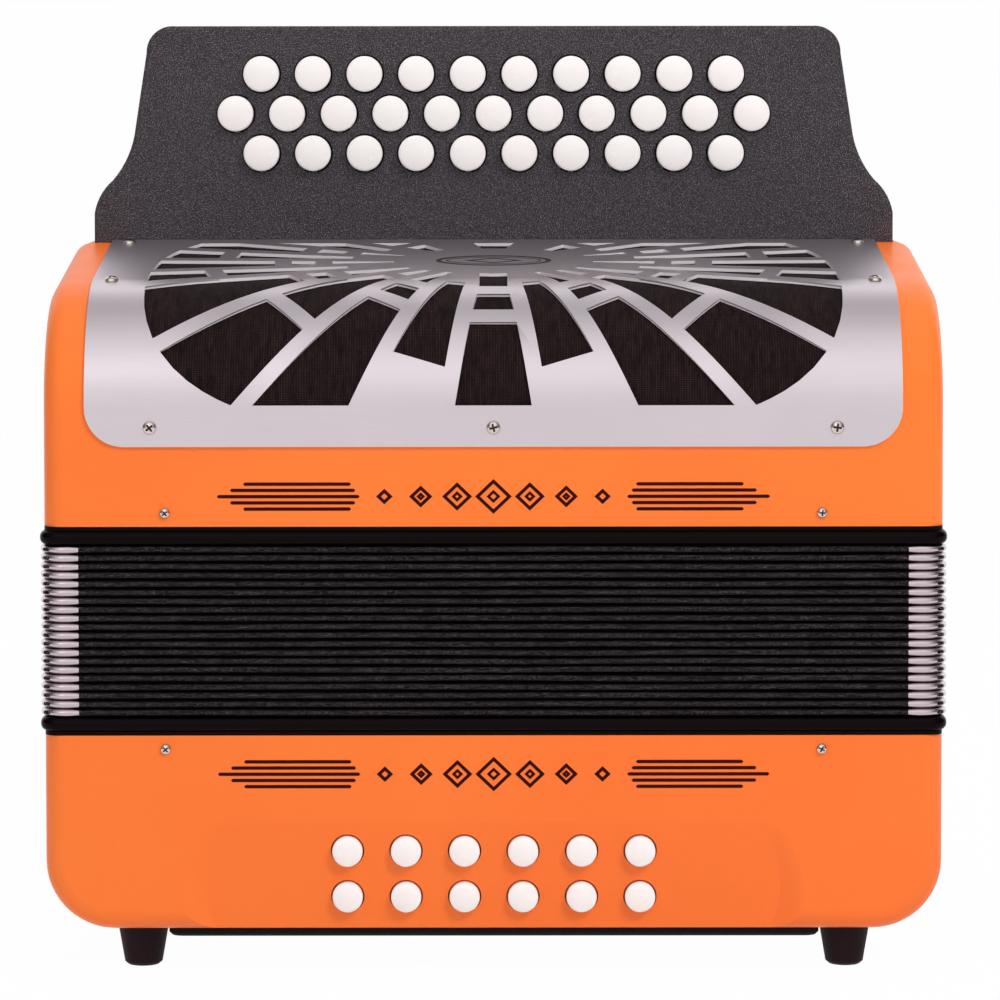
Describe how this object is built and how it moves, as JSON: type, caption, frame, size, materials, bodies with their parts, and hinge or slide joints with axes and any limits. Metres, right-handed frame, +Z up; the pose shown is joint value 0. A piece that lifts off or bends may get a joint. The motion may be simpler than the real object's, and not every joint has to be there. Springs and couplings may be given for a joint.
{
  "type": "diatonic button accordion",
  "caption": "Diatonic button accordion: orange cases on black bellows, bent sunburst grille, button fingerboard on bell-crank keys, bass buttons, air button and hand strap.",
  "frame": {"origin": "on the floor, under the middle of the instrument standing on its bass end", "axes": "+Z up along the bellows' travel, +X across the width, -Y towards the front with the grille and buttons"},
  "size_m": [0.3128, 0.1892, 0.3285],
  "materials": {
    "orange_case": "satin lacquer",
    "black_plate": "matt",
    "foot_rubber": "matt",
    "black_leather": "grained",
    "reed_wood": "bare",
    "screw_steel": "polished",
    "black_frame": "gloss",
    "bellows_cloth": "fine cloth with metal corners",
    "grained_board": "fine grain",
    "brushed_sheet": "brushed",
    "black_gauze": "fine mesh",
    "button_white": "polished"
  },
  "bodies": {
    "bass": {"bass_case": "orange_case", "bass_end_plate": "black_plate", "feet": "foot_rubber", "hand_strap": "black_leather", "bass_reed_unit": "reed_wood", "bass_screws": "screw_steel", "lower_bellows_frame": "black_frame", "bellows": "bellows_cloth"},
    "treble": {"treble_case": "orange_case", "upper_bellows_frame": "black_frame", "treble_reed_unit": "reed_wood", "fingerboard": "grained_board", "fingerboard_cover": "grained_board", "grille": "brushed_sheet", "grille_cloth": "black_gauze", "treble_screws": "screw_steel"},
    "key_1_01": {"treble_key_1_01": "button_white"},
    "key_1_02": {"treble_key_1_02": "button_white"},
    "key_1_03": {"treble_key_1_03": "button_white"},
    "key_1_04": {"treble_key_1_04": "button_white"},
    "key_1_05": {"treble_key_1_05": "button_white"},
    "key_1_06": {"treble_key_1_06": "button_white"},
    "key_1_07": {"treble_key_1_07": "button_white"},
    "key_1_08": {"treble_key_1_08": "button_white"},
    "key_1_09": {"treble_key_1_09": "button_white"},
    "key_1_10": {"treble_key_1_10": "button_white"},
    "key_2_01": {"treble_key_2_01": "button_white"},
    "key_2_02": {"treble_key_2_02": "button_white"},
    "key_2_03": {"treble_key_2_03": "button_white"},
    "key_2_04": {"treble_key_2_04": "button_white"},
    "key_2_05": {"treble_key_2_05": "button_white"},
    "key_2_06": {"treble_key_2_06": "button_white"},
    "key_2_07": {"treble_key_2_07": "button_white"},
    "key_2_08": {"treble_key_2_08": "button_white"},
    "key_2_09": {"treble_key_2_09": "button_white"},
    "key_2_10": {"treble_key_2_10": "button_white"},
    "key_2_11": {"treble_key_2_11": "button_white"},
    "key_3_01": {"treble_key_3_01": "button_white"},
    "key_3_02": {"treble_key_3_02": "button_white"},
    "key_3_03": {"treble_key_3_03": "button_white"},
    "key_3_04": {"treble_key_3_04": "button_white"},
    "key_3_05": {"treble_key_3_05": "button_white"},
    "key_3_06": {"treble_key_3_06": "button_white"},
    "key_3_07": {"treble_key_3_07": "button_white"},
    "key_3_08": {"treble_key_3_08": "button_white"},
    "key_3_09": {"treble_key_3_09": "button_white"},
    "key_3_10": {"treble_key_3_10": "button_white"},
    "bass_key_1_1": {"bass_button_1_1": "button_white"},
    "bass_key_1_2": {"bass_button_1_2": "button_white"},
    "bass_key_1_3": {"bass_button_1_3": "button_white"},
    "bass_key_1_4": {"bass_button_1_4": "button_white"},
    "bass_key_1_5": {"bass_button_1_5": "button_white"},
    "bass_key_1_6": {"bass_button_1_6": "button_white"},
    "bass_key_2_1": {"bass_button_2_1": "button_white"},
    "bass_key_2_2": {"bass_button_2_2": "button_white"},
    "bass_key_2_3": {"bass_button_2_3": "button_white"},
    "bass_key_2_4": {"bass_button_2_4": "button_white"},
    "bass_key_2_5": {"bass_button_2_5": "button_white"},
    "bass_key_2_6": {"bass_button_2_6": "button_white"},
    "air_key": {"air_button": "button_white"}
  },
  "joints": [
    {"name": "bellows_slide", "type": "slide", "parent": "bass", "child": "treble", "axis": [0, 0, 1], "range_m": [0, 0.36], "deforming": ["bellows"]},
    {"name": "press_1_01", "type": "hinge", "parent": "treble", "child": "key_1_01", "pos_m": [0, 0.0295, 0.22611], "axis": [-1, 0, 0], "range_deg": [0, 2.84], "stiffness_Nm_per_rad": 0.2, "springref_deg": -17.19},
    {"name": "press_1_02", "type": "hinge", "parent": "treble", "child": "key_1_02", "pos_m": [0, 0.0295, 0.22611], "axis": [-1, 0, 0], "range_deg": [0, 2.84], "stiffness_Nm_per_rad": 0.2, "springref_deg": -17.19},
    {"name": "press_1_03", "type": "hinge", "parent": "treble", "child": "key_1_03", "pos_m": [0, 0.0295, 0.22611], "axis": [-1, 0, 0], "range_deg": [0, 2.84], "stiffness_Nm_per_rad": 0.2, "springref_deg": -17.19},
    {"name": "press_1_04", "type": "hinge", "parent": "treble", "child": "key_1_04", "pos_m": [0, 0.0295, 0.22611], "axis": [-1, 0, 0], "range_deg": [0, 2.84], "stiffness_Nm_per_rad": 0.2, "springref_deg": -17.19},
    {"name": "press_1_05", "type": "hinge", "parent": "treble", "child": "key_1_05", "pos_m": [0, 0.0295, 0.22611], "axis": [-1, 0, 0], "range_deg": [0, 2.84], "stiffness_Nm_per_rad": 0.2, "springref_deg": -17.19},
    {"name": "press_1_06", "type": "hinge", "parent": "treble", "child": "key_1_06", "pos_m": [0, 0.0295, 0.22611], "axis": [-1, 0, 0], "range_deg": [0, 2.84], "stiffness_Nm_per_rad": 0.2, "springref_deg": -17.19},
    {"name": "press_1_07", "type": "hinge", "parent": "treble", "child": "key_1_07", "pos_m": [0, 0.0295, 0.22611], "axis": [-1, 0, 0], "range_deg": [0, 2.84], "stiffness_Nm_per_rad": 0.2, "springref_deg": -17.19},
    {"name": "press_1_08", "type": "hinge", "parent": "treble", "child": "key_1_08", "pos_m": [0, 0.0295, 0.22611], "axis": [-1, 0, 0], "range_deg": [0, 2.84], "stiffness_Nm_per_rad": 0.2, "springref_deg": -17.19},
    {"name": "press_1_09", "type": "hinge", "parent": "treble", "child": "key_1_09", "pos_m": [0, 0.0295, 0.22611], "axis": [-1, 0, 0], "range_deg": [0, 2.84], "stiffness_Nm_per_rad": 0.2, "springref_deg": -17.19},
    {"name": "press_1_10", "type": "hinge", "parent": "treble", "child": "key_1_10", "pos_m": [0, 0.0295, 0.22611], "axis": [-1, 0, 0], "range_deg": [0, 2.84], "stiffness_Nm_per_rad": 0.2, "springref_deg": -17.19},
    {"name": "press_2_01", "type": "hinge", "parent": "treble", "child": "key_2_01", "pos_m": [0, 0.0295, 0.22611], "axis": [-1, 0, 0], "range_deg": [0, 3.44], "stiffness_Nm_per_rad": 0.2, "springref_deg": -17.19},
    {"name": "press_2_02", "type": "hinge", "parent": "treble", "child": "key_2_02", "pos_m": [0, 0.0295, 0.22611], "axis": [-1, 0, 0], "range_deg": [0, 3.44], "stiffness_Nm_per_rad": 0.2, "springref_deg": -17.19},
    {"name": "press_2_03", "type": "hinge", "parent": "treble", "child": "key_2_03", "pos_m": [0, 0.0295, 0.22611], "axis": [-1, 0, 0], "range_deg": [0, 3.44], "stiffness_Nm_per_rad": 0.2, "springref_deg": -17.19},
    {"name": "press_2_04", "type": "hinge", "parent": "treble", "child": "key_2_04", "pos_m": [0, 0.0295, 0.22611], "axis": [-1, 0, 0], "range_deg": [0, 3.44], "stiffness_Nm_per_rad": 0.2, "springref_deg": -17.19},
    {"name": "press_2_05", "type": "hinge", "parent": "treble", "child": "key_2_05", "pos_m": [0, 0.0295, 0.22611], "axis": [-1, 0, 0], "range_deg": [0, 3.44], "stiffness_Nm_per_rad": 0.2, "springref_deg": -17.19},
    {"name": "press_2_06", "type": "hinge", "parent": "treble", "child": "key_2_06", "pos_m": [0, 0.0295, 0.22611], "axis": [-1, 0, 0], "range_deg": [0, 3.44], "stiffness_Nm_per_rad": 0.2, "springref_deg": -17.19},
    {"name": "press_2_07", "type": "hinge", "parent": "treble", "child": "key_2_07", "pos_m": [0, 0.0295, 0.22611], "axis": [-1, 0, 0], "range_deg": [0, 3.44], "stiffness_Nm_per_rad": 0.2, "springref_deg": -17.19},
    {"name": "press_2_08", "type": "hinge", "parent": "treble", "child": "key_2_08", "pos_m": [0, 0.0295, 0.22611], "axis": [-1, 0, 0], "range_deg": [0, 3.44], "stiffness_Nm_per_rad": 0.2, "springref_deg": -17.19},
    {"name": "press_2_09", "type": "hinge", "parent": "treble", "child": "key_2_09", "pos_m": [0, 0.0295, 0.22611], "axis": [-1, 0, 0], "range_deg": [0, 3.44], "stiffness_Nm_per_rad": 0.2, "springref_deg": -17.19},
    {"name": "press_2_10", "type": "hinge", "parent": "treble", "child": "key_2_10", "pos_m": [0, 0.0295, 0.22611], "axis": [-1, 0, 0], "range_deg": [0, 3.44], "stiffness_Nm_per_rad": 0.2, "springref_deg": -17.19},
    {"name": "press_2_11", "type": "hinge", "parent": "treble", "child": "key_2_11", "pos_m": [0, 0.0295, 0.22611], "axis": [-1, 0, 0], "range_deg": [0, 3.44], "stiffness_Nm_per_rad": 0.2, "springref_deg": -17.19},
    {"name": "press_3_01", "type": "hinge", "parent": "treble", "child": "key_3_01", "pos_m": [0, 0.0295, 0.22611], "axis": [-1, 0, 0], "range_deg": [0, 4.34], "stiffness_Nm_per_rad": 0.2, "springref_deg": -17.19},
    {"name": "press_3_02", "type": "hinge", "parent": "treble", "child": "key_3_02", "pos_m": [0, 0.0295, 0.22611], "axis": [-1, 0, 0], "range_deg": [0, 4.34], "stiffness_Nm_per_rad": 0.2, "springref_deg": -17.19},
    {"name": "press_3_03", "type": "hinge", "parent": "treble", "child": "key_3_03", "pos_m": [0, 0.0295, 0.22611], "axis": [-1, 0, 0], "range_deg": [0, 4.34], "stiffness_Nm_per_rad": 0.2, "springref_deg": -17.19},
    {"name": "press_3_04", "type": "hinge", "parent": "treble", "child": "key_3_04", "pos_m": [0, 0.0295, 0.22611], "axis": [-1, 0, 0], "range_deg": [0, 4.34], "stiffness_Nm_per_rad": 0.2, "springref_deg": -17.19},
    {"name": "press_3_05", "type": "hinge", "parent": "treble", "child": "key_3_05", "pos_m": [0, 0.0295, 0.22611], "axis": [-1, 0, 0], "range_deg": [0, 4.34], "stiffness_Nm_per_rad": 0.2, "springref_deg": -17.19},
    {"name": "press_3_06", "type": "hinge", "parent": "treble", "child": "key_3_06", "pos_m": [0, 0.0295, 0.22611], "axis": [-1, 0, 0], "range_deg": [0, 4.34], "stiffness_Nm_per_rad": 0.2, "springref_deg": -17.19},
    {"name": "press_3_07", "type": "hinge", "parent": "treble", "child": "key_3_07", "pos_m": [0, 0.0295, 0.22611], "axis": [-1, 0, 0], "range_deg": [0, 4.34], "stiffness_Nm_per_rad": 0.2, "springref_deg": -17.19},
    {"name": "press_3_08", "type": "hinge", "parent": "treble", "child": "key_3_08", "pos_m": [0, 0.0295, 0.22611], "axis": [-1, 0, 0], "range_deg": [0, 4.34], "stiffness_Nm_per_rad": 0.2, "springref_deg": -17.19},
    {"name": "press_3_09", "type": "hinge", "parent": "treble", "child": "key_3_09", "pos_m": [0, 0.0295, 0.22611], "axis": [-1, 0, 0], "range_deg": [0, 4.34], "stiffness_Nm_per_rad": 0.2, "springref_deg": -17.19},
    {"name": "press_3_10", "type": "hinge", "parent": "treble", "child": "key_3_10", "pos_m": [0, 0.0295, 0.22611], "axis": [-1, 0, 0], "range_deg": [0, 4.34], "stiffness_Nm_per_rad": 0.2, "springref_deg": -17.19},
    {"name": "bass_press_1_1", "type": "slide", "parent": "bass", "child": "bass_key_1_1", "axis": [0, 1, 0], "range_m": [0, 0.003], "stiffness_N_per_m": 150, "springref_m": -0.01},
    {"name": "bass_press_1_2", "type": "slide", "parent": "bass", "child": "bass_key_1_2", "axis": [0, 1, 0], "range_m": [0, 0.003], "stiffness_N_per_m": 150, "springref_m": -0.01},
    {"name": "bass_press_1_3", "type": "slide", "parent": "bass", "child": "bass_key_1_3", "axis": [0, 1, 0], "range_m": [0, 0.003], "stiffness_N_per_m": 150, "springref_m": -0.01},
    {"name": "bass_press_1_4", "type": "slide", "parent": "bass", "child": "bass_key_1_4", "axis": [0, 1, 0], "range_m": [0, 0.003], "stiffness_N_per_m": 150, "springref_m": -0.01},
    {"name": "bass_press_1_5", "type": "slide", "parent": "bass", "child": "bass_key_1_5", "axis": [0, 1, 0], "range_m": [0, 0.003], "stiffness_N_per_m": 150, "springref_m": -0.01},
    {"name": "bass_press_1_6", "type": "slide", "parent": "bass", "child": "bass_key_1_6", "axis": [0, 1, 0], "range_m": [0, 0.003], "stiffness_N_per_m": 150, "springref_m": -0.01},
    {"name": "bass_press_2_1", "type": "slide", "parent": "bass", "child": "bass_key_2_1", "axis": [0, 1, 0], "range_m": [0, 0.003], "stiffness_N_per_m": 150, "springref_m": -0.01},
    {"name": "bass_press_2_2", "type": "slide", "parent": "bass", "child": "bass_key_2_2", "axis": [0, 1, 0], "range_m": [0, 0.003], "stiffness_N_per_m": 150, "springref_m": -0.01},
    {"name": "bass_press_2_3", "type": "slide", "parent": "bass", "child": "bass_key_2_3", "axis": [0, 1, 0], "range_m": [0, 0.003], "stiffness_N_per_m": 150, "springref_m": -0.01},
    {"name": "bass_press_2_4", "type": "slide", "parent": "bass", "child": "bass_key_2_4", "axis": [0, 1, 0], "range_m": [0, 0.003], "stiffness_N_per_m": 150, "springref_m": -0.01},
    {"name": "bass_press_2_5", "type": "slide", "parent": "bass", "child": "bass_key_2_5", "axis": [0, 1, 0], "range_m": [0, 0.003], "stiffness_N_per_m": 150, "springref_m": -0.01},
    {"name": "bass_press_2_6", "type": "slide", "parent": "bass", "child": "bass_key_2_6", "axis": [0, 1, 0], "range_m": [0, 0.003], "stiffness_N_per_m": 150, "springref_m": -0.01},
    {"name": "air_press", "type": "slide", "parent": "bass", "child": "air_key", "axis": [0, 0, 1], "range_m": [0, 0.004], "stiffness_N_per_m": 150, "springref_m": -0.01}
  ]
}
